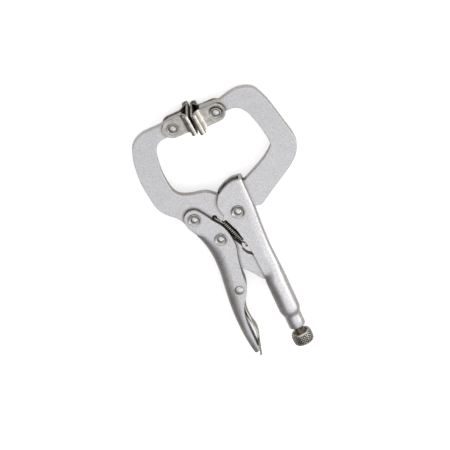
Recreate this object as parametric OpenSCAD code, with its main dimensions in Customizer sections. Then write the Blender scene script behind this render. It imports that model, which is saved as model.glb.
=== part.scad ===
// Locking C-clamp pliers with swivel pads, drawn locked with the pads almost closed.
// X runs across the jaws, Y runs from the knob to the jaws, Z is the thickness.
// Outlines are drawn from the main pivot and moved to the middle of the tool at the end.

/* [Frame] */
// Place of the main pivot, measured from the middle of the tool across the jaws
pivot_x = -1.35; // [-3:0.05:3]
// Place of the main pivot, measured from the middle of the tool along its length
pivot_y = 11.75; // [8:0.05:15]

/* [Sheet and plate] */
// Thickness of the jaw plates
jaw_t = 4.5; // [4:0.1:4.6]
// Thickness of the toggle link
link_t = 4; // [3:0.1:4.2]
// Thickness of the release lever plate
release_t = 3.8; // [2:0.1:4.2]
// Thickness of the folded handle sheet
sheet_t = 2; // [1.6:0.1:2.1]
// Gap between a handle wall and the plate inside it
side_gap = 0.3; // [0.25:0.05:0.4]

/* [Jaw opening] */
// Distance from the main pivot to the middle of the movable pad's swivel rivet, along the tool
movable_pad_y = 64.6; // [64.4:0.1:64.8]
// Distance from the main pivot to the middle of the fixed pad's swivel rivet, along the tool
fixed_pad_y = 64.8; // [64.6:0.1:65]

/* [Swivel pads] */
// Width of a pad across the plate
pad_w = 20.8; // [16:0.2:24]
// Height of the clamping face
pad_h = 13.4; // [12.4:0.2:14]
// Distance from the swivel rivet to the clamping face
pad_reach = 13.1; // [12.9:0.05:13.2]
// Thickness of the folded pad sheet, the face is two layers
pad_t = 1.15; // [0.9:0.05:1.2]
// Radius of the round end of a pad ear
ear_r = 6; // [5:0.1:6.5]
// Angle at which both pads stand
pad_tilt = 4; // [0:0.5:5]

/* [Screw and knob] */
// Outside radius of the screw thread
screw_r = 3; // [2.6:0.1:3.2]
// Radius of the knurled knob
knob_r = 6.15; // [5:0.05:6.6]
// Length of the knurled knob
knob_len = 8; // [6.5:0.1:8.5]
// Radius of the closed tube at the end of the fixed handle
tube_r = 6.2; // [6:0.1:6.4]
// Radius of the threaded neck
neck_r = 4.95; // [4.6:0.05:5.4]

/* [Rivets] */
// Radius of the shafts of the three large rivets
large_shaft_r = 2.6; // [2.2:0.1:2.8]
// Radius of the shafts of the release and pad rivets
small_shaft_r = 1.9; // [1.6:0.1:2.2]
// Radius of the head of the main pivot rivet
main_head_r = 4.05; // [3.6:0.05:4.3]
// Radius of the heads of the two lever rivets
lever_head_r = 3.75; // [3.4:0.05:4]
// Radius of the head of the release lever rivet
release_head_r = 2.8; // [2.6:0.05:3]
// Radius of the heads of the two pad rivets
pad_head_r = 3.35; // [3:0.05:3.6]

/* [Hidden] */

steel = [0.78, 0.78, 0.80];
pad_steel = [0.70, 0.70, 0.70];
weld_grey = [0.62, 0.61, 0.60];
thread_brown = [0.42, 0.39, 0.30];
spring_black = [0.10, 0.10, 0.10];

overlap = 1;
fit_gap = 0.06;
head_gap = 0.06;
round_fn = 96;
curve_steps = 5;

// Half thicknesses, measured from the middle plane of the tool
jaw_z = jaw_t / 2;
wall_in = jaw_z + side_gap;
wall_out = wall_in + sheet_t;
ear_in = jaw_z + 0.4;
ear_out = ear_in + pad_t;

// Pivots, measured from the main pivot
lever_pivot = [-25.7, 4.8];
toggle_pivot = [-16.2, -12.95];
release_pivot = [-18.9, -48.2];
movable_pad_pivot = [-14.75, movable_pad_y];
fixed_pad_pivot = [12.4, fixed_pad_y];
link_end = [3.2, -49];
spring_hole = [-14.5, 0.8];
spring_top = [-11.2, -5];
spring_foot = [-5, -21];
spring_tab_x = -3.3;
spring_tab_y = -24;

// Reach of the jaw tips beyond the swivel rivets, they stay clear of the pad's face
tip_reach = pad_reach - 2 * pad_t - 1;

// Stations along the screw axis, which is at the link end's place across the jaws
axis_x = link_end[0];
tube_start_y = -46;
slot_end_y = -57;
shoulder_y = -73.8;
neck_y = -76.3;
neck_end_y = -85;
knob_front_y = -88.9;
knob_end_y = knob_front_y - knob_len;
screw_tip_y = -56.4;
screw_end_y = knob_end_y + 2;
tube_bore_r = 4.3;

// The slot in the fixed handle's spine that lets the fixed jaw through ends here
jaw_slot_end_y = -1.9;

// One point of a smooth curve that passes through b and c, with a and d beside them
function curve_point(a, b, c, d, t) =
    (2 * b + (c - a) * t + (2 * a - 5 * b + 4 * c - d) * t * t
     + (3 * b - a - 3 * c + d) * t * t * t) / 2;

// Arc about a centre, both end angles included
function arc(centre, radius, from, to, steps = 12) =
    [for (k = [0:steps])
        let (angle = from + (to - from) * k / steps)
        centre + radius * [cos(angle), sin(angle)]];

// Open smooth curve through the given points
function open_curve(points, steps = curve_steps) =
    let (n = len(points))
    concat([for (i = [0:n - 2], k = [0:steps - 1])
               curve_point(points[max(i - 1, 0)], points[i], points[i + 1],
                           points[min(i + 2, n - 1)], k / steps)],
           [points[n - 1]]);

module at_middle() {
    translate([pivot_x, pivot_y, pad_w / 2])
        children();
}

// Plate with an outline in the plane of the tool, spanning from -half to +half
module plate(outline, half) {
    translate([0, 0, -half])
        linear_extrude(height = 2 * half)
            polygon(outline);
}

// Straight hole or pin across the tool
module across(place, radius, half) {
    translate([place[0], place[1], -half])
        cylinder(r = radius, h = 2 * half, $fn = round_fn);
}

// Body turned about a line parallel to the length of the tool, its profile is [radius, y] points
module turned(profile) {
    translate([axis_x, 0, 0])
        rotate([-90, 0, 0])
            rotate_extrude($fn = round_fn)
                polygon(profile);
}

// Round rod along the screw axis
module rod(radius, from_y, to_y) {
    translate([axis_x, from_y, 0])
        rotate([-90, 0, 0])
            cylinder(r = radius, h = to_y - from_y, $fn = round_fn);
}

// Straight piece of spring wire
module wire(from, to, radius) {
    run = to - from;
    turn = atan2(run[1], run[0]);
    tip = acos(run[2] / norm(run));
    translate(from)
        rotate([0, tip, turn])
            cylinder(r = radius, h = norm(run), $fn = 24);
}

// Rivet with a domed head on each side
module rivet(place, shaft_r, head_r, seat, height) {
    dome_r = (head_r * head_r + height * height) / (2 * height);
    dome_angle = asin(head_r / dome_r);
    dome = [for (k = [0:6])
        let (angle = dome_angle * k / 6)
        [dome_r * sin(angle), seat + height - dome_r + dome_r * cos(angle)]];
    translate([place[0], place[1], 0])
        rotate_extrude($fn = round_fn)
            polygon(concat(dome, [[shaft_r, seat], [shaft_r, -seat]],
                           [for (k = [6:-1:0]) [dome[k][0], -dome[k][1]]]));
}

// ---------------------------------------------------------------- fixed side

// Spine side of the fixed handle, from the front down to the tube
fixed_spine = [[10, 19.6], [9.9, 10], [9.9, 0], [9.4, -9], [8.9, -18], [8.6, -30], [9, -39],
               [9.3, -50]];

// Open side of the fixed handle, from the tube up to the front
fixed_lip = [[-2.4, -54], [-1.5, -46], [-1.7, -39.5], [-2.3, -28], [-3.3, -21], [-4.3, -15],
             [-5.6, -8.5], [-7.2, -3], [-8.7, 1.7], [-9.6, 6], [-9.2, 9.4], [-7.4, 13],
             [-4.9, 15.4], [0.5, 18.3], [5.3, 19.5]];

module fixed_handle() {
    lip = open_curve(fixed_lip);
    spine = open_curve(fixed_spine);
    inner_spine = [for (p = spine) p - [sheet_t, 0]];
    color(steel)
    difference() {
        union() {
            plate(concat(lip, spine), wall_out);
            turned([[0, tube_start_y], [tube_r, tube_start_y], [tube_r, shoulder_y],
                    [neck_r, neck_y], [neck_r, neck_end_y], [0, neck_end_y]]);
            spring_tab();
        }
        plate(concat([[-30, 30], [inner_spine[0][0], 30]], inner_spine,
                     [[axis_x, -50], [axis_x, slot_end_y], [-30, slot_end_y]]), wall_in);
        plate([[axis_x, 30], [20, 30], [20, jaw_slot_end_y], [axis_x, jaw_slot_end_y]], jaw_z);
        rod(tube_bore_r, shoulder_y, -44);
        rod(screw_r + fit_gap, neck_end_y - overlap, shoulder_y + overlap);
        across([0, 0], large_shaft_r, wall_out + overlap);
    }
}

// Tab lanced from the handle wall, it holds the foot of the spring
module spring_tab() {
    tab_w = 2.4;
    tab_t = 2.2;
    tip_z = -0.6;
    translate([spring_tab_x, spring_tab_y - tab_w, tip_z])
        cube([tab_t, tab_w, wall_in + 0.6 - tip_z]);
}

// Jaw plate of the fixed side, the last points follow the movable jaw's round end
module fixed_jaw() {
    outside = open_curve([[17.4, 70.5], [23.6, 72.6], [29.7, 73.4], [35, 72.3], [38.5, 70],
                          [40.6, 66.2], [43.4, 58], [46.3, 44], [48.4, 33.6], [48.3, 27.5],
                          [46.4, 22.6], [42.8, 18.2], [37.1, 13.4], [26, 6], [18.8, 1],
                          [15.6, -1.3], [13, -1.8]]);
    inside = open_curve([[11.2, 16.6], [17.5, 20], [25.2, 24.4], [31.6, 29.4], [33.8, 32.8],
                         [34, 37.5], [32.7, 45.6], [31, 52.6], [29.2, 57.6], [26.4, 61.2],
                         [22.6, 62.8], [17.7, 62.6], [14, 61]]);
    tip = arc(fixed_pad_pivot, tip_reach, 207, 143);
    hidden = concat(arc([0, 0], 8.3, -5, 108), [[-3.6, 12.6], [-0.5, 15.4], [4.5, 16.6]]);
    color(steel)
    difference() {
        plate(concat(outside, hidden, inside, tip), jaw_z);
        across(fixed_pad_pivot, small_shaft_r, jaw_z + overlap);
    }
}

// Fillet welds between the jaw plate and the outside of the spine, on the rear side
module jaw_weld_beads() {
    leg = 0.8;
    root = 0.4;
    bead_len = 5.6;
    color(weld_grey)
    for (start_y = [0.6, 8.8])
        difference() {
            translate([fixed_spine[1][0] - root, start_y, -jaw_z])
                rotate([-90, 0, 0])
                    cylinder(r = leg + root, h = bead_len, $fn = round_fn);
            plate([[0, -5], [20, -5], [20, 20], [0, 20]], jaw_z);
            plate([[-5, -5], [fixed_spine[1][0] + 0.02, -5], [fixed_spine[1][0] + 0.12, 20],
                   [-5, 20]], wall_out + overlap);
        }
}

module main_pivot_rivet() {
    color(steel)
    rivet([0, 0], large_shaft_r, main_head_r, wall_out, 1.2);
}

module fixed_pad_rivet() {
    color(steel)
    rivet(fixed_pad_pivot, small_shaft_r, pad_head_r, ear_out + head_gap, 1);
}

// -------------------------------------------------------------- movable side

module movable_jaw() {
    outside = open_curve([[-11, 60.6], [-16, 60.2], [-21, 59.8], [-24.6, 59.2], [-27.2, 57.4],
                          [-29.1, 54.4], [-30.6, 49.3], [-31.3, 44.6], [-31.7, 39.4],
                          [-31.6, 34.5], [-31, 28.8], [-29.7, 24.6], [-26.9, 21.6],
                          [-22, 19.6], [-16.9, 18.7], [-13, 17.8], [-10.2, 15.9],
                          [-7.2, 13], [-5, 10], [-3.2, 6.6]]);
    round_end = arc([0, 0], 7, 105, -152, 24);
    underside = open_curve([[-7.8, -1.4], [-8.7, -0.4], [-9.6, -1.2], [-10.4, -2.6],
                            [-12.2, -3.4], [-15.5, -3.2], [-20, -2.4]]);
    back = arc(lever_pivot, 6.6, -75, -165, 10);
    inside = open_curve([[-32.4, 4.2], [-33.6, 6.8], [-35.4, 9], [-39.2, 12.5], [-42, 16.2],
                         [-43.8, 20.6], [-44.7, 27], [-45.7, 38], [-44.8, 50], [-43.2, 57],
                         [-41.2, 61.8], [-37.6, 65.3], [-33, 67.2], [-27.4, 67.9],
                         [-21, 68.4], [-15, 70]]);
    tip = arc(movable_pad_pivot, tip_reach, 38, -27);
    color(steel)
    difference() {
        plate(concat(outside, round_end, underside, back, inside, tip), jaw_z);
        across([0, 0], large_shaft_r + fit_gap, jaw_z + overlap);
        across(lever_pivot, large_shaft_r, jaw_z + overlap);
        across(movable_pad_pivot, small_shaft_r, jaw_z + overlap);
        across(spring_hole, 1.4, jaw_z + overlap);
    }
}

module lever_pivot_rivet() {
    color(steel)
    rivet(lever_pivot, large_shaft_r, lever_head_r, wall_out + head_gap, 1.15);
}

module movable_pad_rivet() {
    color(steel)
    rivet(movable_pad_pivot, small_shaft_r, pad_head_r, ear_out + head_gap, 1);
}

// ------------------------------------------------------------ locking lever

// Open side of the movable handle, from its head down to its tail
lever_lip = [[-21.2, 8.8], [-18.8, 5], [-16, 0.5], [-12.8, -4.2], [-10.7, -9], [-9.9, -13.4],
             [-9.6, -17.6], [-10, -22], [-11.4, -27.4], [-12.5, -33], [-13.3, -40],
             [-13.5, -45], [-14.5, -49.4], [-16.1, -52.6], [-19.6, -58], [-21.4, -62],
             [-22.5, -67], [-22.9, -72], [-22.85, -80], [-22.8, -89.6]];

// Spine side of the movable handle, from its tail up to its head
lever_spine = [[-26.4, -91], [-27.2, -87], [-28.1, -79], [-28.5, -70], [-28.4, -62],
               [-27.7, -53], [-26.4, -42], [-25.5, -34], [-25.2, -26.5], [-25.5, -20], [-26.4, -14],
               [-27.8, -8.5], [-29.6, -3.2], [-31.4, 1.6]];

// The spine stops here so that the jaw plate can turn past it
lever_spine_top_y = -6.6;

module movable_handle() {
    spine = open_curve(lever_spine);
    inner_spine = [for (p = spine) if (p[1] < lever_spine_top_y) p + [sheet_t, 0]];
    top = inner_spine[len(inner_spine) - 1];
    color(steel)
    difference() {
        plate(concat(open_curve(lever_lip), spine, arc(lever_pivot, 6.2, 195, 55)), wall_out);
        plate(concat([[inner_spine[0][0], -95]], inner_spine,
                     [[-45, top[1]], [-45, 20], [0, 20], [0, -95]]), wall_in);
        across(lever_pivot, large_shaft_r + fit_gap, wall_out + overlap);
        across(toggle_pivot, large_shaft_r, wall_out + overlap);
        across(release_pivot, small_shaft_r, wall_out + overlap);
    }
}

module toggle_rivet() {
    color(steel)
    rivet(toggle_pivot, large_shaft_r, lever_head_r, wall_out, 1.15);
}

module release_rivet() {
    color(steel)
    rivet(release_pivot, small_shaft_r, release_head_r, wall_out, 0.9);
}

// Plate link, its round end bears on the screw and its notch clears the foot of the spring
module toggle_link() {
    head_r = 5.3;
    notch_side = open_curve([[-10.5, -15.6], [-6.9, -22.4], [-7.2, -24.6], [-6.5, -27],
                             [-5.2, -29], [-3.4, -30.4], [0, -35], [3.4, -41.4]]);
    lower_side = open_curve([[0, -50.4], [-3.6, -47.4], [-6.7, -43], [-9.8, -39], [-13.6, -35.8],
                             [-17.6, -32], [-20.2, -26], [-21.5, -18.4]]);
    color(steel)
    difference() {
        plate(concat(notch_side, arc(link_end, 3.4, 25, -140), lower_side,
                     arc(toggle_pivot, head_r, 190, 5)), link_t / 2);
        across(toggle_pivot, large_shaft_r + fit_gap, link_t / 2 + overlap);
    }
}

// Release lever, a plate with a wider thumb tab near its tail
module release_lever() {
    tab_half = 3.9;
    tab_t = 1.2;
    tab_top_y = -70.5;
    inner_side = open_curve([[-16.6, -39.6], [-15.5, -43], [-15.4, -48], [-16.7, -53],
                             [-18.2, -56.5], [-19.4, -59.6], [-20, -63.5], [-20, -67],
                             [-19.7, -71], [-19.2, -77], [-19.7, -80.6], [-20.5, -83.9],
                             [-22.1, -90], [-23.4, -94.6]]);
    outer_side = open_curve([[-24.1, -94.4], [-23.3, -91], [-22, -84.5], [-21.2, -80.5],
                             [-20.8, -77], [-21.4, -72], [-22.5, -64], [-22.9, -56],
                             [-22.6, -48], [-21, -42.4], [-18.4, -39.6]]);
    tab_front = [for (p = inner_side) if (p[1] < tab_top_y) p];
    tab_back = [for (k = [len(tab_front) - 1:-1:0]) tab_front[k] - [tab_t, 0]];
    half_tab = [[tab_top_y, release_t / 2], [-73.5, tab_half], [-81.8, tab_half],
                [-85, wall_in - 0.1], [-94, release_t / 2]];
    color(steel)
    difference() {
        union() {
            plate(concat(inner_side, outer_side), release_t / 2);
            intersection() {
                plate(concat(tab_front, tab_back), tab_half);
                translate([-30, 0, 0])
                    rotate([90, 0, 90])
                        linear_extrude(height = 30)
                            polygon(concat(half_tab, [for (k = [len(half_tab) - 1:-1:0])
                                [half_tab[k][0], -half_tab[k][1]]]));
            }
        }
        across(release_pivot, small_shaft_r + fit_gap, tab_half + overlap);
    }
}

// ------------------------------------------------------------- swivel pads

// Folded pad that faces +X, or -X with facing = -1
module pad(place, facing) {
    hem = 3.2;
    ear = concat(arc([0, 0], ear_r, 90, 270, 20),
                 [[pad_reach - pad_t, -ear_r], [pad_reach - pad_t, ear_r]]);
    color(pad_steel)
    translate([place[0], place[1], 0])
        rotate([0, 0, pad_tilt])
            mirror([facing < 0 ? 1 : 0, 0, 0])
                difference() {
                    union() {
                        translate([pad_reach - 2 * pad_t, -pad_h / 2, -pad_w / 2])
                            cube([2 * pad_t, pad_h, pad_w]);
                        for (side = [-1, 1]) {
                            translate([0, 0, side * (ear_in + pad_t / 2) - pad_t / 2])
                                linear_extrude(height = pad_t)
                                    polygon(ear);
                            translate([pad_reach - 3 * pad_t, -pad_h / 2,
                                       side * (pad_w - hem) / 2 - hem / 2])
                                cube([pad_t + overlap, pad_h, hem]);
                        }
                    }
                    across([0, 0], small_shaft_r + fit_gap, ear_out + overlap);
                }
}

module fixed_pad() {
    pad(fixed_pad_pivot, -1);
}

module movable_pad() {
    pad(movable_pad_pivot, 1);
}

// ---------------------------------------------------------- screw and spring

module adjusting_screw() {
    color(thread_brown)
    turned([[0, screw_tip_y], [screw_r - 1, screw_tip_y], [screw_r, screw_tip_y - 1],
            [screw_r, screw_end_y], [0, screw_end_y]]);
}

// Knob with a recess round the screw in its front face
module screw_knob() {
    bore = screw_r + fit_gap;
    color(pad_steel)
    turned([[bore, knob_front_y - 1.2], [screw_r + 1, knob_front_y - 1.2],
            [screw_r + 1, knob_front_y], [knob_r - 1.1, knob_front_y],
            [knob_r - 0.3, knob_front_y - 0.8], [knob_r, knob_front_y - 2.2],
            [knob_r, knob_end_y + 2.8], [knob_r - 0.5, knob_end_y + 1.2],
            [knob_r - 1.6, knob_end_y + 0.3], [knob_r - 2.8, knob_end_y], [0, knob_end_y],
            [0, screw_end_y - fit_gap], [bore, screw_end_y - fit_gap]]);
}

// Extension spring, its coils as a tube and its hooks as straight wires
module tension_spring() {
    coil_r = 1.9;
    wire_r = 0.4;
    hook_z = jaw_z + 0.75;
    top = [spring_top[0], spring_top[1], 0];
    foot = [spring_foot[0], spring_foot[1], 0];
    hole = [spring_hole[0], spring_hole[1], 0];
    bend = top + [-0.1, -0.4, hook_z];
    coil_end = (top - foot) * 0.1;
    color(spring_black)
    union() {
        difference() {
            wire(top, foot, coil_r);
            wire(top + coil_end, foot - coil_end, coil_r - 2 * wire_r);
        }
        wire(top - coil_end / 2 + [0, 0, coil_r - wire_r], bend, wire_r);
        wire(bend - coil_end / 4, hole + [0, 0, hook_z], wire_r);
        wire(hole + [0, 0, hook_z + wire_r], hole - [0, 0, hook_z], wire_r);
        wire(foot + coil_end / 2 + [0, 0, coil_r - wire_r],
             [spring_tab_x - wire_r - fit_gap, spring_tab_y - 1, wire_r], wire_r);
    }
}

at_middle() fixed_handle();
at_middle() fixed_jaw();
at_middle() jaw_weld_beads();
at_middle() main_pivot_rivet();
at_middle() fixed_pad_rivet();
at_middle() movable_jaw();
at_middle() lever_pivot_rivet();
at_middle() movable_pad_rivet();
at_middle() movable_handle();
at_middle() toggle_rivet();
at_middle() release_rivet();
at_middle() toggle_link();
at_middle() release_lever();
at_middle() fixed_pad();
at_middle() movable_pad();
at_middle() adjusting_screw();
at_middle() screw_knob();
at_middle() tension_spring();
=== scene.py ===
import math

import bmesh
import bpy
from mathutils import Matrix, Vector

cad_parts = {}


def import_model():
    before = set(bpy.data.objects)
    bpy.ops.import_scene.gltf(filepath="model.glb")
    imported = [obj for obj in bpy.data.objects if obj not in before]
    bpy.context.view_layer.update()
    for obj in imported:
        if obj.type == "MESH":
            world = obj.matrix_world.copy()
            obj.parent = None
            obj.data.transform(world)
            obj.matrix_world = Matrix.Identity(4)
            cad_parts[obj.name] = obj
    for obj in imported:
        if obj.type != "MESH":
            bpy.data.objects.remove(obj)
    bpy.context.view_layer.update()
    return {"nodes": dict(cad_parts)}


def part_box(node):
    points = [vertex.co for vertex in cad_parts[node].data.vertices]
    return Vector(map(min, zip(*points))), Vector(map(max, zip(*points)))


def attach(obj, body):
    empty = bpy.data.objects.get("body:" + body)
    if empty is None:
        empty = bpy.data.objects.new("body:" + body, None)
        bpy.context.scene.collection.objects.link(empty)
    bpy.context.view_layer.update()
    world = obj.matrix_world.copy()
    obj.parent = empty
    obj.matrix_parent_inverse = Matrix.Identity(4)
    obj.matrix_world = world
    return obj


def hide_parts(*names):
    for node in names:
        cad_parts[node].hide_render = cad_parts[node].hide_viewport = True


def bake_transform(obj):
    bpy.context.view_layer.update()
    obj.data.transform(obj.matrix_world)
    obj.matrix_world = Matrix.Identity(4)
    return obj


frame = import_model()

# Locking C-clamp pliers with swivel pads. Lengths are in millimetres from the main pivot,
# on the middle plane of the tool, and at() turns them into metres in the shared frame.

MM = 0.001
TINY = 0.001         # radius of a turned shape's end, where it closes on its axis


def middle(node):
    """Middle of a CAD node's box."""
    low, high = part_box(node)
    return (low + high) / 2


PIVOT = middle("main_pivot_rivet")


def at(x, y, z=0.0):
    """Point in metres for a place measured in millimetres from the main pivot."""
    return PIVOT + Vector((x, y, z)) * MM


def place_of(node):
    """Middle of a CAD node, in millimetres from the main pivot."""
    offset = (middle(node) - PIVOT) / MM
    return (offset.x, offset.y)


# ------------------------------------------------------------------ design values

# places taken from the frame, as (x, y)
LEVER = place_of("lever_pivot_rivet")
RELEASE = place_of("release_rivet")
FIXED_PAD = place_of("fixed_pad_rivet")
MOVABLE_PAD = place_of("movable_pad_rivet")
AXIS_X = place_of("screw_knob")[0]   # screw, knob, neck and tube share this axis along Y

# folded handles
WALL_OUT = 4.55      # outside of the walls, from the middle plane
SHEET = 2.0          # thickness

# rivets
PIN_R = 2.6
THIN_PIN_R = 1.9

# tube and neck of the fixed handle, screw and knob
TUBE_R = 6.2
BORE_R = 4.2
SHOULDER_Y = -73.8
NECK_R = 4.95
NECK_Y = -76.3
NECK_END_Y = -85.0
KNOB_R = 6.15
KNOB_FRONT_Y = -88.9
KNOB_END_Y = -96.9
SCREW_R = 3.0

# extension spring: the hole for its upper hook, and the ends of its row of coils
SPRING_HOLE = (-14.5, 0.8)
SPRING_TOP = (-11.2, -5.0)
SPRING_FOOT = (-5.0, -21.0)

# swivel pads
PAD_W = 20.8         # length of the face, across the tool
PAD_FACE = 6.7       # half height of the face
PAD_REACH = 13.1     # from the rivet to the face
PAD_T = 1.15         # sheet thickness
PAD_SEAT = 3.86      # where the rivet heads sit on the ears, from the middle plane
EAR_R = 6.0
EAR_MID = 3.225      # middle of an ear's sheet, from the middle plane

# outlines in the plane of the tool: a spine is the folded side and a lip the open one, and
# the front of the release lever is its thumb side
FIXED_SPINE = [(10, 19.6), (9.9, 10), (9.9, 0), (9.4, -9), (8.9, -18), (8.6, -30), (9, -39),
               (9.3, -50)]
FIXED_LIP = [(-2.4, -54), (-1.5, -46), (-1.7, -39.5), (-2.3, -28), (-3.3, -21), (-4.3, -15),
             (-5.6, -8.5), (-7.2, -3), (-8.7, 1.7), (-9.6, 6), (-9.2, 9.4), (-7.4, 13),
             (-4.9, 15.4), (0.5, 18.3), (5.3, 19.5)]
LEVER_LIP = [(-21.2, 8.8), (-18.8, 5), (-16, 0.5), (-12.8, -4.2), (-10.7, -9), (-9.9, -13.4),
             (-9.6, -17.6), (-10, -22), (-11.4, -27.4), (-12.5, -33), (-13.3, -40),
             (-13.5, -45), (-14.5, -49.4), (-16.1, -52.6), (-19.6, -58), (-21.4, -62),
             (-22.5, -67), (-22.9, -72), (-22.85, -80), (-22.8, -89.6)]
LEVER_SPINE = [(-26.4, -91), (-27.2, -87), (-28.1, -79), (-28.5, -70), (-28.4, -62),
               (-27.7, -53), (-26.4, -42), (-25.5, -34), (-25.2, -26.5), (-25.5, -20),
               (-26.4, -14), (-27.8, -8.5), (-29.6, -3.2), (-31.4, 1.6)]
RELEASE_FRONT = [(-16.6, -39.6), (-15.5, -43), (-15.4, -48), (-16.7, -53), (-18.2, -56.5),
                 (-19.4, -59.6), (-20, -63.5), (-20, -67), (-19.7, -71), (-19.2, -77),
                 (-19.7, -80.6), (-20.5, -83.9), (-22.1, -90), (-23.4, -94.6)]
RELEASE_BACK = [(-18.4, -39.6), (-21, -42.4), (-22.6, -48), (-22.9, -56), (-22.5, -64),
                (-21.4, -72), (-20.8, -77), (-21.2, -80.5), (-22, -84.5), (-23.3, -91),
                (-24.1, -94.4)]

# outside of the neck and the tube as (y, radius), from the open end
TUBE_OUTLINE = [(NECK_END_Y, NECK_R - 0.9), (NECK_END_Y + 0.15, NECK_R - 0.45),
                (NECK_END_Y + 0.45, NECK_R - 0.15), (NECK_END_Y + 0.9, NECK_R),
                (-80, NECK_R), (NECK_Y - 1.0, NECK_R), (NECK_Y - 0.3, NECK_R + 0.05),
                (-75.9, 5.12), (-75.2, 5.35), (-74.4, 5.68), (SHOULDER_Y + 0.2, 5.96),
                (-72.8, 6.12)]
TUBE_OUTLINE += [(y, TUBE_R) for y in (-72, -70, -66, -61, -57)]


# ------------------------------------------------------------------ curves

def through(points, steps=6):
    """Smooth open curve through the points."""
    result = []
    last = len(points) - 1
    for i in range(last):
        a = Vector(points[max(i - 1, 0)])
        b = Vector(points[i])
        c = Vector(points[i + 1])
        d = Vector(points[min(i + 2, last)])
        for k in range(steps):
            t = k / steps
            result.append((2 * b + (c - a) * t + (2 * a - 5 * b + 4 * c - d) * t * t
                           + (3 * b - a - 3 * c + d) * t * t * t) / 2)
    result.append(Vector(points[last]))
    return result


def arc(centre, radius, start, end, steps):
    """Points of an arc, angles in degrees."""
    result = []
    for k in range(steps + 1):
        angle = math.radians(start + (end - start) * k / steps)
        result.append(Vector((centre[0] + radius * math.cos(angle),
                              centre[1] + radius * math.sin(angle))))
    return result


def spaced(points, count):
    """The same line as count points at equal distances."""
    lengths = [0.0]
    for a, b in zip(points, points[1:]):
        lengths.append(lengths[-1] + (b - a).length)
    result = []
    k = 0
    for i in range(count):
        target = lengths[-1] * i / (count - 1)
        while k < len(points) - 2 and lengths[k + 1] < target:
            k += 1
        span = max(lengths[k + 1] - lengths[k], 1e-9)
        result.append(points[k].lerp(points[k + 1], (target - lengths[k]) / span))
    return result


def smooth(value, start, end):
    """0 before start, 1 after end, with a soft change between them."""
    t = min(max((value - start) / (end - start), 0.0), 1.0)
    return t * t * (3 - 2 * t)


def table(value, stops):
    """Value read from (place, value) stops, in a straight line between them."""
    if value <= stops[0][0]:
        return stops[0][1]
    for (x0, y0), (x1, y1) in zip(stops, stops[1:]):
        if value <= x1:
            return y0 + (y1 - y0) * (value - x0) / (x1 - x0)
    return stops[-1][1]


# ------------------------------------------------------------------ mesh building

def new_piece(name, verts, faces, paint, body, nodes, angle):
    """A mesh piece that rides on a body, takes a slot's finish and stands for CAD nodes.
    Edges sharper than the angle stay sharp."""
    mesh = bpy.data.meshes.new(name)
    mesh.from_pydata([tuple(v) for v in verts], [], faces)
    work = bmesh.new()
    work.from_mesh(mesh)
    bmesh.ops.remove_doubles(work, verts=work.verts, dist=1e-6)
    bmesh.ops.dissolve_degenerate(work, edges=work.edges, dist=1e-7)
    bmesh.ops.recalc_face_normals(work, faces=work.faces)
    work.to_mesh(mesh)
    work.free()
    mesh.materials.append(paint)
    piece = bpy.data.objects.new(name, mesh)
    bpy.context.scene.collection.objects.link(piece)
    mesh.shade_smooth()
    mesh.set_sharp_from_angle(angle=math.radians(angle))
    if body:
        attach(piece, body)
    if nodes:
        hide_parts(*nodes)
    return piece


def soften(piece, width, segments, angle):
    """Round the edges that are sharper than the angle."""
    bevel = piece.modifiers.new("edges", "BEVEL")
    bevel.width = width * MM
    bevel.segments = segments
    bevel.limit_method = "ANGLE"
    bevel.angle_limit = math.radians(angle)
    bevel.use_clamp_overlap = True
    bevel.harden_normals = False
    return piece


def ring_faces(rings, count):
    """Faces between neighbouring rings of count points each."""
    faces = []
    for i in range(rings - 1):
        for k in range(count):
            a = i * count + k
            b = i * count + (k + 1) % count
            faces.append((a, b, b + count, a + count))
    return faces


def end_faces(rings, count):
    """Flat faces over the first and the last ring."""
    return [tuple(range(count)), tuple(range((rings - 1) * count, rings * count))]


def lathe(profile, segments):
    """Rings of (radius, height) points about the Z axis, as verts and faces."""
    verts = []
    for radius, height in profile:
        for k in range(segments):
            turn = 2 * math.pi * k / segments
            verts.append(Vector((radius * math.cos(turn), radius * math.sin(turn), height)))
    return verts, ring_faces(len(profile), segments)


def thick_sheet(outer, inner, keep=None):
    """Closed sheet between two grids of points, leaving out the cells that keep refuses."""
    rows = len(outer)
    columns = len(outer[0])
    verts = [p for row in outer for p in row] + [p for row in inner for p in row]
    shift = rows * columns
    kept = set()
    for i in range(rows - 1):
        for j in range(columns - 1):
            if keep is None or keep(i, j):
                kept.add((i, j))
    faces = []
    for i, j in sorted(kept):
        a, b = i * columns + j, i * columns + j + 1
        d, c = (i + 1) * columns + j, (i + 1) * columns + j + 1
        faces.append((a, b, c, d))
        faces.append((d + shift, c + shift, b + shift, a + shift))
        for neighbour, p, q in (((i - 1, j), a, b), ((i, j + 1), b, c),
                                ((i + 1, j), c, d), ((i, j - 1), d, a)):
            if neighbour not in kept:
                faces.append((q, p, p + shift, q + shift))
    return verts, faces


def sleeve(rings):
    """Closed body through rings of points, with flat ends."""
    verts = [p for ring in rings for p in ring]
    count = len(rings[0])
    return verts, ring_faces(len(rings), count) + end_faces(len(rings), count)


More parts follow.
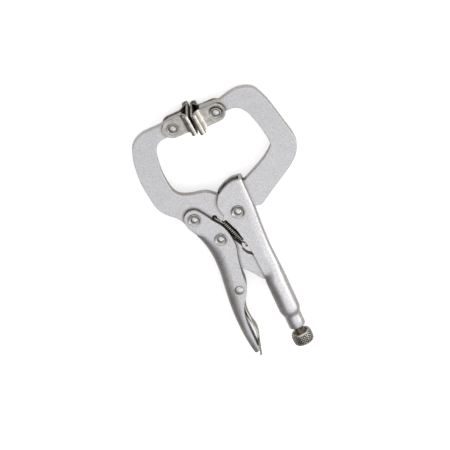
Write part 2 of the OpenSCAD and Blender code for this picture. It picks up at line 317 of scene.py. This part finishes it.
def drill(piece, place, radius):
    """Straight hole through a piece, across the tool."""
    reach = 9.0
    verts, faces = lathe([(TINY, -reach), (radius, -reach), (radius, reach), (TINY, reach)], 48)
    mesh = bpy.data.meshes.new("drill")
    mesh.from_pydata([tuple(at(*place) + v * MM) for v in verts], [], faces)
    cutter = bpy.data.objects.new("drill", mesh)
    bpy.context.scene.collection.objects.link(cutter)
    hole = piece.modifiers.new("hole", "BOOLEAN")
    hole.object = cutter
    hole.solver = "EXACT"
    bpy.context.view_layer.update()
    done = piece.evaluated_get(bpy.context.evaluated_depsgraph_get())
    result = bpy.data.meshes.new_from_object(done)
    piece.modifiers.remove(hole)
    piece.data = result
    bpy.data.objects.remove(cutter)
    bpy.data.meshes.remove(mesh)
    return piece


# ------------------------------------------------------------------ materials

def ramp(nodes, stops):
    """Colour ramp with (place, colour) stops."""
    node = nodes.new("ShaderNodeValToRGB")
    elements = node.color_ramp.elements
    while len(elements) < len(stops):
        elements.new(0.5)
    for element, (place, colour) in zip(elements, stops):
        element.position = place
        element.color = (*colour, 1)
    return node


def multiply(nodes, links, first, second):
    """Product of two colours."""
    blend = nodes.new("ShaderNodeMix")
    blend.data_type = "RGBA"
    blend.blend_type = "MULTIPLY"
    blend.inputs["Factor"].default_value = 1.0
    links.new(first, blend.inputs["A"])
    links.new(second, blend.inputs["B"])
    return blend.outputs["Result"]


def noise(nodes, links, place, size, detail, rough):
    """Noise with features of a size in millimetres."""
    node = nodes.new("ShaderNodeTexNoise")
    node.inputs["Scale"].default_value = 1 / (size * MM)
    node.inputs["Detail"].default_value = detail
    node.inputs["Roughness"].default_value = rough
    links.new(place.outputs["Object"], node.inputs["Vector"])
    return node.outputs["Fac"]


def metal(name, light, dark, rough, grain=0.8, bump=0.3, patch=9.0, fleck=0.76, reach=2.6,
          crevice_shade=(0.16, 0.13, 0.10)):
    """Plated metal: mottled colour, fine blasted grain, uneven roughness, and painted shade that
    darkens the colour in crevices and close to other parts. grain, patch and reach are sizes in
    millimetres, of the grain, the mottles and the painted shade, and rough is the range of the
    roughness."""
    paint = bpy.data.materials.new(name)
    paint.use_nodes = True
    nodes = paint.node_tree.nodes
    links = paint.node_tree.links
    shader = nodes["Principled BSDF"]
    shader.inputs["Metallic"].default_value = 1.0
    place = nodes.new("ShaderNodeTexCoord")

    mottle = noise(nodes, links, place, patch, 5, 0.62)
    tone = ramp(nodes, [(0.30, dark), (0.66, light)])
    links.new(mottle, tone.inputs["Fac"])
    speckle = noise(nodes, links, place, grain, 3, 0.7)
    flecks = ramp(nodes, [(0.36, (fleck, fleck, fleck)), (0.60, (1.0, 1.0, 1.0))])
    links.new(speckle, flecks.inputs["Fac"])
    colour = multiply(nodes, links, tone.outputs["Color"], flecks.outputs["Color"])

    # Painted shade: occlusion darkens the colour in crevices, recesses and along the joints
    # between parts, down to the darkest colour given for crevices.
    shade = nodes.new("ShaderNodeAmbientOcclusion")
    shade.samples = 12
    shade.inputs["Distance"].default_value = reach * MM
    painted_shade = ramp(nodes, [(0.28, crevice_shade), (0.60, (0.42, 0.39, 0.36)),
                        (0.84, (0.80, 0.79, 0.77)), (0.95, (1.0, 1.0, 1.0))])
    links.new(shade.outputs["AO"], painted_shade.inputs["Fac"])
    colour = multiply(nodes, links, colour, painted_shade.outputs["Color"])
    links.new(colour, shader.inputs["Base Color"])

    spread = nodes.new("ShaderNodeMapRange")
    spread.inputs["From Min"].default_value = 0.3
    spread.inputs["From Max"].default_value = 0.7
    spread.inputs["To Min"].default_value = rough[0]
    spread.inputs["To Max"].default_value = rough[1]
    links.new(mottle, spread.inputs["Value"])
    links.new(spread.outputs["Result"], shader.inputs["Roughness"])

    relief = nodes.new("ShaderNodeBump")
    relief.inputs["Strength"].default_value = bump
    relief.inputs["Distance"].default_value = 0.12 * MM
    links.new(speckle, relief.inputs["Height"])
    links.new(relief.outputs["Normal"], shader.inputs["Normal"])
    return paint


NICKEL = metal("satin_nickel", (0.785, 0.78, 0.80), (0.69, 0.685, 0.70), (0.34, 0.44))
# Darker copy of the nickel for the release lever, with painted shade that reaches further, so
# that its near face reads as lying in the handle's shade.
RELEASE_NICKEL = metal("lever_nickel", (0.66, 0.65, 0.63), (0.46, 0.44, 0.40), (0.24, 0.34),
                       patch=2.4, reach=5.5)
# The pads' painted shade is lighter, so their hollows go dark grey rather than black.
PAD_NICKEL = metal("bright_nickel", (0.68, 0.665, 0.63), (0.33, 0.31, 0.27), (0.22, 0.36),
                   bump=0.10, patch=3.0, fleck=0.86, reach=1.6, crevice_shade=(0.34, 0.32, 0.27))
# The rivets' painted shade is deep and dark round their heads, drawing a dark outline where they
# sit.
RIVET_NICKEL = metal("rivet_nickel", (0.72, 0.715, 0.705), (0.52, 0.51, 0.50), (0.22, 0.30),
                     bump=0.03, patch=2.5, fleck=0.93, reach=3.2, crevice_shade=(0.08, 0.07, 0.06))
KNURL_NICKEL = metal("knurled_nickel", (0.70, 0.69, 0.67), (0.52, 0.50, 0.47), (0.16, 0.26),
                     bump=0.06, patch=2.0, reach=1.0)
SCREW_STEEL = metal("screw_steel", (0.42, 0.38, 0.27), (0.20, 0.18, 0.12), (0.24, 0.38),
                    grain=0.3, bump=0.2, patch=1.5, reach=0.9)
SPRING_STEEL = metal("black_spring_steel", (0.56, 0.55, 0.52), (0.20, 0.19, 0.17), (0.15, 0.25),
                     grain=0.3, bump=0.1, patch=1.5, reach=0.7)
WELD_METAL = metal("weld_metal", (0.46, 0.44, 0.42), (0.22, 0.20, 0.18), (0.35, 0.55),
                   grain=0.6, bump=0.6, patch=1.5)


# ------------------------------------------------------------------ CAD plates that stay

def keep_plate(node, paint, width):
    """Give a CAD plate a better finish and rounded edges of a width in millimetres."""
    piece = frame["nodes"][node]
    piece.data.materials.clear()
    piece.data.materials.append(paint)
    weld = piece.modifiers.new("join", "WELD")
    weld.merge_threshold = 0.005 * MM
    flat = piece.modifiers.new("flat", "DECIMATE")
    flat.decimate_type = "DISSOLVE"
    flat.angle_limit = math.radians(0.5)
    return soften(piece, width, 3, 40)


# ------------------------------------------------------------------ handles

def channel_section(width, corner, spread):
    """Outer and inner points of a folded channel, as (distance from spine, z), from the near
    lip to the far one. The folds have a radius of corner, drawn out along the walls by spread."""
    least = 0.3          # straight wall left at the lip
    least_inner = 0.1
    tight = 0.35         # smallest radius inside a fold
    wall_steps = 8
    corner_steps = 7
    spine_steps = 3
    corner = min(corner, width - least, WALL_OUT)
    reach = min(corner * spread, width - least)
    inner_corner = max(corner - SHEET, tight)
    inner_reach = max(reach - SHEET, tight)
    inner_end = min(SHEET + inner_reach, width - least_inner)
    outer = []
    inner = []
    for k in range(wall_steps):
        t = k / wall_steps
        outer.append((width + (reach - width) * t, WALL_OUT))
        inner.append((width + (inner_end - width) * t, WALL_OUT - SHEET))
    inner_reach = min(inner_reach, width - least_inner - SHEET)
    for k in range(corner_steps + 1):
        turn = math.pi / 2 * k / corner_steps
        along = 1 - math.sin(turn)
        across = 1 - math.cos(turn)
        outer.append((reach * along, WALL_OUT - corner * across))
        inner.append((SHEET + inner_reach * along, WALL_OUT - SHEET - inner_corner * across))
    for k in range(1, spine_steps + 1):
        t = k / spine_steps
        outer.append((0.0, (WALL_OUT - corner) * (1 - t)))
        inner.append((SHEET, (WALL_OUT - SHEET - inner_corner) * (1 - t)))
    outer += [(s, -z) for s, z in outer[-2::-1]]
    inner += [(s, -z) for s, z in inner[-2::-1]]
    return outer, inner


def axis_ring(y, radius, count):
    """Points round the screw axis, from one side of a narrow seam to the other."""
    seam = math.radians(3.5)
    ring = []
    for k in range(count):
        turn = (math.pi - seam) * (1 - 2 * k / (count - 1))
        ring.append(Vector((AXIS_X + radius * math.cos(turn), y, radius * math.sin(turn))))
    return ring


def fixed_handle():
    """Folded channel that closes into a tube and ends in the threaded neck."""
    lip = spaced(through(FIXED_LIP), 260)
    spine = spaced(list(reversed(through(FIXED_SPINE, 12))), 400)
    row_step = 4         # each fourth point of the lip starts a row
    least_wall = 0.6     # at the chamfered end of the neck
    fan_y = -10.0        # above this the rows slant, to end along the handle's top edge
    top_y = FIXED_SPINE[0][1]
    corners = [(-46, 4.4), (-30, 3.6), (-8, 2.8), (top_y, 2.0)]
    spreads = [(-46, 1.0), (-30, 1.5), (-8, 1.5), (top_y, 1.1)]
    count = len(channel_section(10, 2, 1)[0])

    outer_rows = []
    inner_rows = []
    for y, radius in TUBE_OUTLINE:
        outer_rows.append([at(*p) for p in axis_ring(y, radius, count)])
        bore = min(radius - least_wall, BORE_R)
        inner_rows.append([at(*p) for p in axis_ring(y, bore, count)])

    def spine_at(y):
        return min(spine, key=lambda p: abs(p.y - y))

    fan_start = next(i for i, p in enumerate(lip) if p.y >= fan_y)
    for i in range(0, len(lip), row_step):
        low = lip[i]
        if low.y < fan_y:
            high = spine_at(low.y)
        else:
            share = (i - fan_start) / (len(lip) - 1 - fan_start)
            high = spine_at(fan_y + share * (top_y - fan_y))
        outer, inner = channel_section((low - high).length, table(high.y, corners),
                                       table(high.y, spreads))
        direction = (low - high).normalized()
        ring_out = axis_ring(low.y, TUBE_R, count)
        ring_in = axis_ring(low.y, BORE_R, count)
        row_out = []
        row_in = []
        for k in range(count):
            # the section turns round sooner and more slowly at the spine than at the lips
            from_spine = abs(2 * k / (count - 1) - 1)
            begin = table(from_spine, [(0, 36), (1, 44.5)])
            length = table(from_spine, [(0, 17), (1, 8)])
            share = smooth(-low.y, begin, begin + length)
            for path, ring, row in ((outer, ring_out, row_out), (inner, ring_in, row_in)):
                s, z = path[k]
                flat = high + direction * s
                point = Vector((flat.x, flat.y, z)).lerp(ring[k], share)
                row.append(at(*point))
        outer_rows.append(row_out)
        inner_rows.append(row_in)
    verts, faces = thick_sheet(outer_rows, inner_rows)
    piece = new_piece("fixed_handle_shell", verts, faces, NICKEL, "fixed_frame",
                      ["fixed_handle"], 60)
    return soften(piece, 0.35, 3, 60)


def movable_handle():
    """Folded channel lever, its walls run on past the spine as two round ears."""
    points = 400
    row_step = 5
    ear_r = 6.2
    ear_steps = 24
    bore_r = 2.66
    ear_y = -7.2         # above this only the walls go on
    wall_cells = 10      # cells of the grid that a wall has
    corners = [(-90, 3.6), (-60, 4.2), (-22, 4.0), (-9, 3.0), (-4, 1.2), (0, 0.5)]
    spreads = [(-90, 1.0), (-76, 1.2), (-62, 1.7), (-22, 1.9), (-9, 1.4), (-4, 1.0)]
    ear = arc(LEVER, ear_r, 55, 195, ear_steps)
    apex = ear_steps // 2
    lip = spaced(list(reversed(through(LEVER_LIP))) + ear[1:apex + 1], points)
    spine = spaced(through(LEVER_SPINE, 8) + list(reversed(ear[apex:])), points)

    outer_rows = []
    inner_rows = []
    row_ys = []
    for i in range(0, points, row_step):
        low = lip[i]
        high = spine[i]
        direction = (low - high).normalized()
        outer, inner = channel_section((low - high).length, table(high.y, corners),
                                       table(high.y, spreads))
        for path, rows in ((outer, outer_rows), (inner, inner_rows)):
            rows.append([at(*(high + direction * s), z) for s, z in path])
        row_ys.append(high.y)
    last_cell = len(outer_rows[0]) - 2

    def keep(i, j):
        return row_ys[i] <= ear_y or not wall_cells <= j <= last_cell - wall_cells

    verts, faces = thick_sheet(outer_rows, inner_rows, keep)
    piece = new_piece("movable_handle_shell", verts, faces, NICKEL, "lever",
                      ["movable_handle"], 60)
    drill(piece, LEVER, bore_r)
    return soften(piece, 0.45, 3, 60)


def release_lever():
    """Rounded bar that thins to a face sheet on a web and widens into a slightly hollow thumb
    face near its tail."""
    rows = 90
    bar_half = 1.9
    web_half = 0.6
    tab_t = 1.1
    tab_half = 3.6       # the face is fully hollow from this half width on
    dish = 0.35
    round_off = 0.999    # keeps the rounded corner a hair behind the face
    bore_r = 1.96
    halves = [(-94.6, 1.4), (-93.5, 1.8), (-85, 2.4), (-81.8, 3.9), (-74.5, 3.9), (-70.5, 1.9)]
    rings = []
    for low, high in zip(spaced(through(RELEASE_FRONT), rows),
                         spaced(through(RELEASE_BACK), rows)):
        width = (low - high).length
        direction = (low - high).normalized()
        half = table(low.y, halves)
        flare = smooth(half, bar_half, tab_half)
        corner = 1.0 - 0.55 * flare
        hollow = dish * flare
        thick = min(tab_t, width - 0.3)
        web = bar_half + (web_half - bar_half) * smooth(-low.y, 50, 55)
        section = [(width - hollow, 0), (width - 0.7 * hollow, 0.4 * half),
                   (width - 0.2 * hollow, 0.7 * half)]
        for k in range(5):
            turn = math.pi / 2 * k / 4
            section.append((width - corner + corner * math.cos(turn) * round_off,
                            half - corner * (1 - math.sin(turn))))
        section += [(width - thick, half), (width - thick - 0.02, web),
                    (0.7 * (width - thick), web), (0.25, web), (0, web - 0.2), (0, 0.2)]
        ring = section + [(s, -z) for s, z in reversed(section[1:])]
        rings.append([at(*(high + direction * s), z) for s, z in ring])
    verts, faces = sleeve(rings)
    piece = new_piece("release_lever_bar", verts, faces, RELEASE_NICKEL, "release_lever",
                      ["release_lever"], 45)
    return drill(piece, RELEASE, bore_r)


def spring_tab():
    """Tab bent inward from the near wall of the fixed handle, for the foot of the spring."""
    path = [(-20.6, 3.6), (-21.8, 3.55), (-22.8, 3.3), (-23.5, 2.7), (-23.9, 1.9), (-24.1, 0.9),
            (-24.15, -0.6)]
    columns = (-4.6, -3.9, -3.0, -2.1, -1.4)
    half_t = 0.45
    outer = []
    inner = []
    for i, (y, z) in enumerate(path):
        before = Vector(path[max(i - 1, 0)])
        after = Vector(path[min(i + 1, len(path) - 1)])
        run = (after - before).normalized()
        normal = Vector((-run.y, run.x))
        for sign, rows in ((-1, outer), (1, inner)):
            spot = Vector((y, z)) + normal * half_t * sign
            rows.append([at(x, spot.x, spot.y) for x in columns])
    verts, faces = thick_sheet(outer, inner)
    piece = new_piece("spring_tab", verts, faces, NICKEL, "fixed_frame", (), 50)
    return soften(piece, 0.15, 2, 50)


# ------------------------------------------------------------------ rivets

def rivet(node, body, shaft_r, head_r, seat, height, dome_share=0.55):
    """Riveted pin whose heads have a thin rim, a dished ring and a domed middle, or a plain
    dome when dome_share is 1. The heads sit at seat on both sides of the middle plane."""
    # from the rim inward as (distance from the rim, share of the height)
    rim = [(0, 0.3), (0.06, 0.44), (0.22, 0.52), (0.42, 0.46), (0.62, 0.26), (0.85, 0.12)]
    dome_steps = 12
    dome = dome_share * head_r
    side = [(shaft_r, seat), (head_r - 0.3, seat), (head_r - 0.12, seat + 0.12 * height)]
    base = 0.2
    if dome_share < 1:
        base = 0.05
        side += [(head_r - inset, seat + share * height) for inset, share in rim]
        side += [(dome + 0.25, seat + 0.04 * height), (dome + 0.06, seat + 0.03 * height)]
    for k in range(dome_steps + 1):
        turn = math.pi / 2 * k / dome_steps
        side.append((dome * math.cos(turn) + TINY,
                     seat + height * (base + (1 - base) * math.sin(turn))))
    profile = [(r, -z) for r, z in reversed(side)] + side
    place = at(*place_of(node))
    verts, faces = lathe(profile, 48)
    verts = [place + v * MM for v in verts]
    return new_piece(node + "_turned", verts, faces, RIVET_NICKEL, body,
                     [node], 50)


# ------------------------------------------------------------------ swivel pads

def mirrored(half):
    """Open line continued on the other side of the middle plane."""
    return half + [Vector((p.x, -p.y)) for p in reversed(half) if p.y > 0]


def bracket_path():
    """Middle line of the folded bracket as (x, z): ear, bend and flange, up to its end."""
    gap = 0.07           # between the flange and the face plate
    flange = PAD_REACH - 1.5 * PAD_T - gap
    ear = [Vector((-EAR_R + 0.02 + 0.25 * k, EAR_MID)) for k in range(8)]
    ear += [Vector((x, EAR_MID)) for x in (-3.4, -2.6, -1.8, -1, 0, 1, 2, 3, 4, 5, 6, 7.2)]
    slope = [(-3.3, 0.12), (-2.6, 0.5), (-2.0, 1.15), (-1.4, 1.95), (-0.78, 2.8), (-0.3, 3.45),
             (-0.04, 4.1), (0, 4.8), (0, 5.5)]
    return ear + [Vector((flange + x, EAR_MID + z)) for x, z in slope]


def face_path():
    """Middle line of the face plate as (x, z), wrapped round the flange at both ends."""
    wrap = 1.21          # radius of the wrapped ends
    wrap_steps = 10
    face = PAD_REACH - 0.5 * PAD_T
    start = PAD_W / 2 - PAD_T / 2 - wrap
    back = face - 2 * wrap
    half = [Vector((back + 0.02, 7.3)), Vector((back, 7.7)), Vector((back, 8.2))]
    for k in range(wrap_steps + 1):
        turn = math.pi * k / wrap_steps
        half.append(Vector((face - wrap - wrap * math.cos(turn), start + wrap * math.sin(turn))))
    half += [Vector((face, z)) for z in (7.5, 6, 4, 2, 0)]
    return mirrored(half)


def pad_sheet(path, place, facing, half_height, dish):
    """Sheet along a (x, z) line at the pad's place. dish sinks the ears round the rivet."""
    across = 18
    dish_in = 3.9        # the dish is full within this radius
    dish_out = 4.7       # and gone outside this one
    turn = Matrix.Rotation(math.radians(4), 4, "Z")
    outer = []
    inner = []
    for i, point in enumerate(path):
        run = (path[min(i + 1, len(path) - 1)] - path[max(i - 1, 0)]).normalized()
        normal = Vector((-run.y, run.x))
        half = half_height(point)
        row_out = []
        row_in = []
        for k in range(across + 1):
            y = -half * math.cos(math.pi * k / across)
            away = math.hypot(point.x, y)
            sink = dish * (1 - smooth(away, dish_in, dish_out)) * (1 if point.y > 0 else -1)
            for offset, row in ((PAD_T / 2, row_out), (-PAD_T / 2, row_in)):
                flat = point + normal * offset - Vector((0, sink))
                spun = turn @ Vector((flat.x * facing, y * facing, flat.y))
                row.append(at(place[0] + spun.x, place[1] + spun.y, spun.z))
        outer.append(row_out)
        inner.append(row_in)
    return thick_sheet(outer, inner)


def ear_height(point):
    """Half height of the bracket, round at the ear's end and full at the flange."""
    if point.x < 0:
        return math.sqrt(max(EAR_R ** 2 - point.x ** 2, 0.01))
    flange_half = PAD_FACE - 0.2
    return EAR_R + (flange_half - EAR_R) * smooth(point.x, 6.5, 9.6)


def face_height(point):
    """Half height of the face plate, the same everywhere."""
    return PAD_FACE


def swivel_pad(node, body, place, facing, dish=0.0):
    """Pad of two sheets: a bracket with round ears, and a face plate wrapped round it."""
    verts = []
    faces = []
    upper = bracket_path()
    lower = [Vector((p.x, -p.y)) for p in reversed(upper)]
    for path, height, sink in ((upper, ear_height, dish), (lower, ear_height, dish),
                               (face_path(), face_height, 0.0)):
        more, sides = pad_sheet(path, place, facing, height, sink)
        faces += [tuple(v + len(verts) for v in side) for side in sides]
        verts += more
    piece = new_piece(node + "_sheet", verts, faces, PAD_NICKEL, body,
                      [node], 50)
    return soften(piece, 0.28, 2, 55)


# ------------------------------------------------------------------ screw, knob, spring

def lie_along_axis(verts):
    """Turn lathe points so that their height runs along the screw axis."""
    return [at(AXIS_X + v.x, v.z, -v.y) for v in verts]


def knob():
    """Barrel knob with a diamond knurl, a smooth front face and a groove round the shank."""
    around = 22          # knurl ridges each way
    per_ridge = 12
    depth = 0.55
    belly = 0.28
    low, high = KNOB_END_Y + 1.3, KNOB_FRONT_Y - 0.9
    middle_y = (low + high) / 2
    rows = 56
    profile = [(SCREW_R + 0.05, KNOB_FRONT_Y - 1.3), (SCREW_R + 1.2, KNOB_FRONT_Y - 1.3),
               (SCREW_R + 1.3, KNOB_FRONT_Y - 0.15), (SCREW_R + 1.45, KNOB_FRONT_Y),
               (KNOB_R - 1.5, KNOB_FRONT_Y), (KNOB_R - 1.0, KNOB_FRONT_Y - 0.1),
               (KNOB_R - 0.6, KNOB_FRONT_Y - 0.35), (KNOB_R - 0.35, KNOB_FRONT_Y - 0.7)]
    knurled = range(len(profile), len(profile) + rows + 1)
    for k in range(rows + 1):
        y = high + (low - high) * k / rows
        profile.append((KNOB_R - belly * (abs(y - middle_y) / (high - middle_y)) ** 3, y))
    profile += [(KNOB_R - 0.5, KNOB_END_Y + 1.0), (KNOB_R - 1.0, KNOB_END_Y + 0.5),
                (KNOB_R - 1.7, KNOB_END_Y + 0.2), (KNOB_R - 2.6, KNOB_END_Y + 0.04),
                (KNOB_R - 3.6, KNOB_END_Y), (10 * TINY, KNOB_END_Y)]
    segments = around * per_ridge
    verts, faces = lathe(profile, segments)
    for index, v in enumerate(verts):
        if index // segments in knurled:
            turn = math.atan2(v.y, v.x)
            lead = around * v.z / KNOB_R
            crossing = max(math.cos(around * turn + lead), math.cos(around * turn - lead))
            edge = smooth(v.z, low, low + 0.5) * (1 - smooth(v.z, high - 0.4, high))
            radius = math.hypot(v.x, v.y)
            scale = 1 - depth * smooth(crossing, 0.0, 1.0) * edge / radius
            verts[index] = Vector((v.x * scale, v.y * scale, v.z))
    return new_piece("knurled_knob", lie_along_axis(verts), faces, KNURL_NICKEL,
                     "screw_knob", ["screw_knob"], 30)


def screw():
    """Threaded shank with a chamfered tip, cut off inside the knob."""
    pitch = 1.0
    depth = 0.5
    tip_y = -56.4
    end_y = KNOB_END_Y + 2
    chamfer = 1.0
    segments = 32
    per_turn = 4
    steps = int((tip_y - end_y) / pitch * per_turn)
    verts = []
    for i in range(steps + 1):
        y = end_y + (i / per_turn) * pitch
        for k in range(segments):
            turn = 2 * math.pi * k / segments
            # narrow flat root and crest with slopes between them, once a pitch
            phase = ((y / pitch) - k / segments) % 1.0
            groove = min(max(1.25 * abs(2 * phase - 1) - 0.12, 0), 1)
            radius = min(SCREW_R - depth * groove, SCREW_R - chamfer + max(tip_y - y, 0))
            verts.append(Vector((radius * math.cos(turn), radius * math.sin(turn), y)))
    faces = ring_faces(steps + 1, segments) + end_faces(steps + 1, segments)
    return new_piece("threaded_screw", lie_along_axis(verts), faces, SCREW_STEEL,
                     "adjusting_screw", ["adjusting_screw"], 60)


def tube_along(points, radius, sides):
    """Round wire along a line of points in metres."""
    verts = []
    normal = None
    for i, p in enumerate(points):
        run = (points[min(i + 1, len(points) - 1)] - points[max(i - 1, 0)]).normalized()
        if normal is None:
            normal = run.orthogonal().normalized()
        normal = (normal - run * normal.dot(run)).normalized()
        second = run.cross(normal)
        for k in range(sides):
            turn = 2 * math.pi * k / sides
            verts.append(p + (normal * math.cos(turn) + second * math.sin(turn)) * radius * MM)
    return verts, ring_faces(len(points), sides) + end_faces(len(points), sides)


def spring():
    """Extension spring: close coils with a hook at each end."""
    wire = 0.5           # radius
    coil = 2.1 - wire    # radius of the wire's middle line
    turns = 14
    per_turn = 20
    inset = 0.4          # from the ends of the row to the first and last turns' centres
    across = Vector((0, 0, 1))
    hole = Vector((*SPRING_HOLE, 0))
    top = Vector((*SPRING_TOP, 0))
    foot = Vector((*SPRING_FOOT, 0))
    length = (foot - top).length
    axis = (foot - top).normalized()
    side = axis.cross(across).normalized()

    upper_hook = [(0.2, -0.2, -2.9), (0, 0, -2.0), (0, 0, 0), (0, 0, 2.2), (0.15, -0.35, 2.75),
                  (0.8, -1.2, 3.0), (1.9, -3.0, 2.5)]
    points = [hole + Vector(offset) for offset in upper_hook]
    steps = turns * per_turn
    for i in range(steps + 1):
        turn = 2 * math.pi * i / per_turn + math.pi / 2
        centre = top + axis * (inset + (length - 2 * inset) * i / steps)
        points.append(centre + (side * math.cos(turn) + across * math.sin(turn)) * coil)
    points += [foot + axis * 0.7 + Vector((0, 0, 1.2)), foot + axis * 1.9 + Vector((0, 0, 0.8)),
               foot + axis * 3.1 + Vector((0.3, 0, 0.6))]
    verts, faces = tube_along(spaced([at(*p) for p in points], 1200), wire, 8)
    piece = new_piece("coil_spring", verts, faces, SPRING_STEEL, None,
                      ["tension_spring"], 60)
    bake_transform(piece)
    return piece


# ------------------------------------------------------------------ stage

def camera():
    """Far camera with a narrow view, high above the tool and towards its jaw end."""
    right = Vector((0.925, -0.38, 0.015)).normalized()
    up = Vector((0.338, 0.823, -0.454))
    up = (up - right * up.dot(right)).normalized()
    back = right.cross(up)
    target = at(-10.2, -4.9, 4.8)
    distance = 9.0
    width = 0.2637       # of the view, at the target
    sensor = 36.0
    data = bpy.data.cameras.new("camera")
    eye = bpy.data.objects.new("camera", data)
    bpy.context.scene.collection.objects.link(eye)
    data.sensor_width = sensor
    data.lens = sensor * distance / width
    data.clip_end = 40
    turn = Matrix((right, up, back)).transposed().to_4x4()
    eye.matrix_world = Matrix.Translation(target + back * distance) @ turn
    bpy.context.scene.camera = eye


def area_light(name, place, size, power, colour, target=Vector((0, 0, 0))):
    """Rectangular soft light aimed at a target, the tool's middle unless another is given."""
    data = bpy.data.lights.new(name, "AREA")
    data.shape = "RECTANGLE"
    data.size, data.size_y = size
    data.energy = power
    data.color = colour
    lamp = bpy.data.objects.new(name, data)
    bpy.context.scene.collection.objects.link(lamp)
    lamp.location = place
    aim = target - Vector(place)
    lamp.rotation_euler = aim.to_track_quat("-Z", "Y").to_euler()


def lights():
    """Key light high at the knob end, a low one from the side, one from beyond the jaws and a
    small close one aimed near the main pivot."""
    area_light("key", (0.45, -0.65, 1.35), (0.6, 1.0), 0.8, (1.0, 0.99, 0.99))
    area_light("glow", (-0.045, -0.135, 0.30), (0.10, 0.10), 0.018, (1.0, 1.0, 1.0),
               at(4, -6))
    area_light("side", (1.3, -0.5, 0.45), (0.4, 1.2), 3.4, (1.0, 0.97, 0.92))
    area_light("jaws", (0.3, 1.1, 1.0), (0.9, 0.5), 0.8, (1.0, 0.99, 0.97))


def floor():
    """Pale floor under the tool. In reflections it glows instead, with painted shade and light:
    dark close to the tool, palest at the shadow's edge and grey in the open."""
    mesh = bpy.data.meshes.new("floor")
    size = 6
    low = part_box("fixed_pad")[0].z - 0.2 * MM
    mesh.from_pydata([(-size, -size, low), (size, -size, low), (size, size, low),
                      (-size, size, low)], [], [(0, 1, 2, 3)])
    paint = bpy.data.materials.new("floor_white")
    paint.use_nodes = True
    nodes = paint.node_tree.nodes
    links = paint.node_tree.links
    shader = nodes["Principled BSDF"]
    shader.inputs["Base Color"].default_value = (0.92, 0.92, 0.92, 1)
    shader.inputs["Roughness"].default_value = 0.9
    shader.inputs["Emission Color"].default_value = (1, 1, 1, 1)
    shader.inputs["Emission Strength"].default_value = 0.5
    # Painted shade and light for reflections: the floor's occlusion picks a glow colour, dark
    # under the tool, pale cream at the shadow's edge and grey further off.
    near = nodes.new("ShaderNodeAmbientOcclusion")
    near.samples = 8
    near.inputs["Distance"].default_value = 30 * MM
    tone = ramp(nodes, [(0.35, (0.18, 0.16, 0.13)), (0.64, (0.54, 0.51, 0.46)),
                        (0.87, (0.98, 0.95, 0.90)), (0.93, (0.92, 0.89, 0.84)),
                        (1.0, (0.46, 0.44, 0.41))])
    links.new(near.outputs["AO"], tone.inputs["Fac"])
    glow = nodes.new("ShaderNodeEmission")
    glow.inputs["Strength"].default_value = 0.85
    links.new(tone.outputs["Color"], glow.inputs["Color"])
    path = nodes.new("ShaderNodeLightPath")
    mix = nodes.new("ShaderNodeMixShader")
    links.new(path.outputs["Is Camera Ray"], mix.inputs["Fac"])
    links.new(glow.outputs["Emission"], mix.inputs[1])
    links.new(shader.outputs["BSDF"], mix.inputs[2])
    links.new(mix.outputs["Shader"], nodes["Material Output"].inputs["Surface"])
    mesh.materials.append(paint)
    ground = bpy.data.objects.new("floor", mesh)
    bpy.context.scene.collection.objects.link(ground)


def world():
    """Soft studio surroundings, palest in one direction above the tool."""
    palest = (0.55, 0.35, 0.72)
    sky = bpy.data.worlds.new("studio")
    bpy.context.scene.world = sky
    sky.use_nodes = True
    nodes = sky.node_tree.nodes
    links = sky.node_tree.links
    place = nodes.new("ShaderNodeTexCoord")
    toward = nodes.new("ShaderNodeVectorMath")
    toward.operation = "DOT_PRODUCT"
    toward.inputs[1].default_value = palest
    links.new(place.outputs["Generated"], toward.inputs[0])
    tone = ramp(nodes, [(0.0, (0.17, 0.16, 0.15)), (0.18, (0.40, 0.39, 0.38)),
                        (0.40, (0.79, 0.79, 0.81)), (0.60, (0.94, 0.94, 0.95))])
    links.new(toward.outputs["Value"], tone.inputs["Fac"])
    links.new(tone.outputs["Color"], nodes["Background"].inputs["Color"])
    nodes["Background"].inputs["Strength"].default_value = 1.08


# ------------------------------------------------------------------ build

camera()
world()
floor()
lights()
bpy.context.scene.view_settings.view_transform = "Standard"

for plate_node in ("fixed_jaw", "movable_jaw"):
    keep_plate(plate_node, NICKEL, 0.8)
keep_plate("toggle_link", NICKEL, 0.4)
keep_plate("jaw_weld_beads", WELD_METAL, 0.1)

fixed_handle()
movable_handle()
release_lever()
spring_tab()
rivet("main_pivot_rivet", "fixed_frame", PIN_R, 4.05, WALL_OUT, 1.2)
rivet("lever_pivot_rivet", "movable_jaw", PIN_R, 3.75, WALL_OUT + 0.06, 1.15)
rivet("toggle_rivet", "lever", PIN_R, 3.75, WALL_OUT, 1.15)
rivet("release_rivet", "lever", THIN_PIN_R, 2.65, WALL_OUT, 1.1, 1.0)
rivet("fixed_pad_rivet", "fixed_frame", THIN_PIN_R, 3.35, PAD_SEAT, 1.0, 0.66)
rivet("movable_pad_rivet", "movable_jaw", THIN_PIN_R, 3.35, PAD_SEAT, 1.0, 0.66)
swivel_pad("fixed_pad", "fixed_pad", FIXED_PAD, -1, 0.32)
swivel_pad("movable_pad", "movable_pad", MOVABLE_PAD, 1)
knob()
screw()
spring()
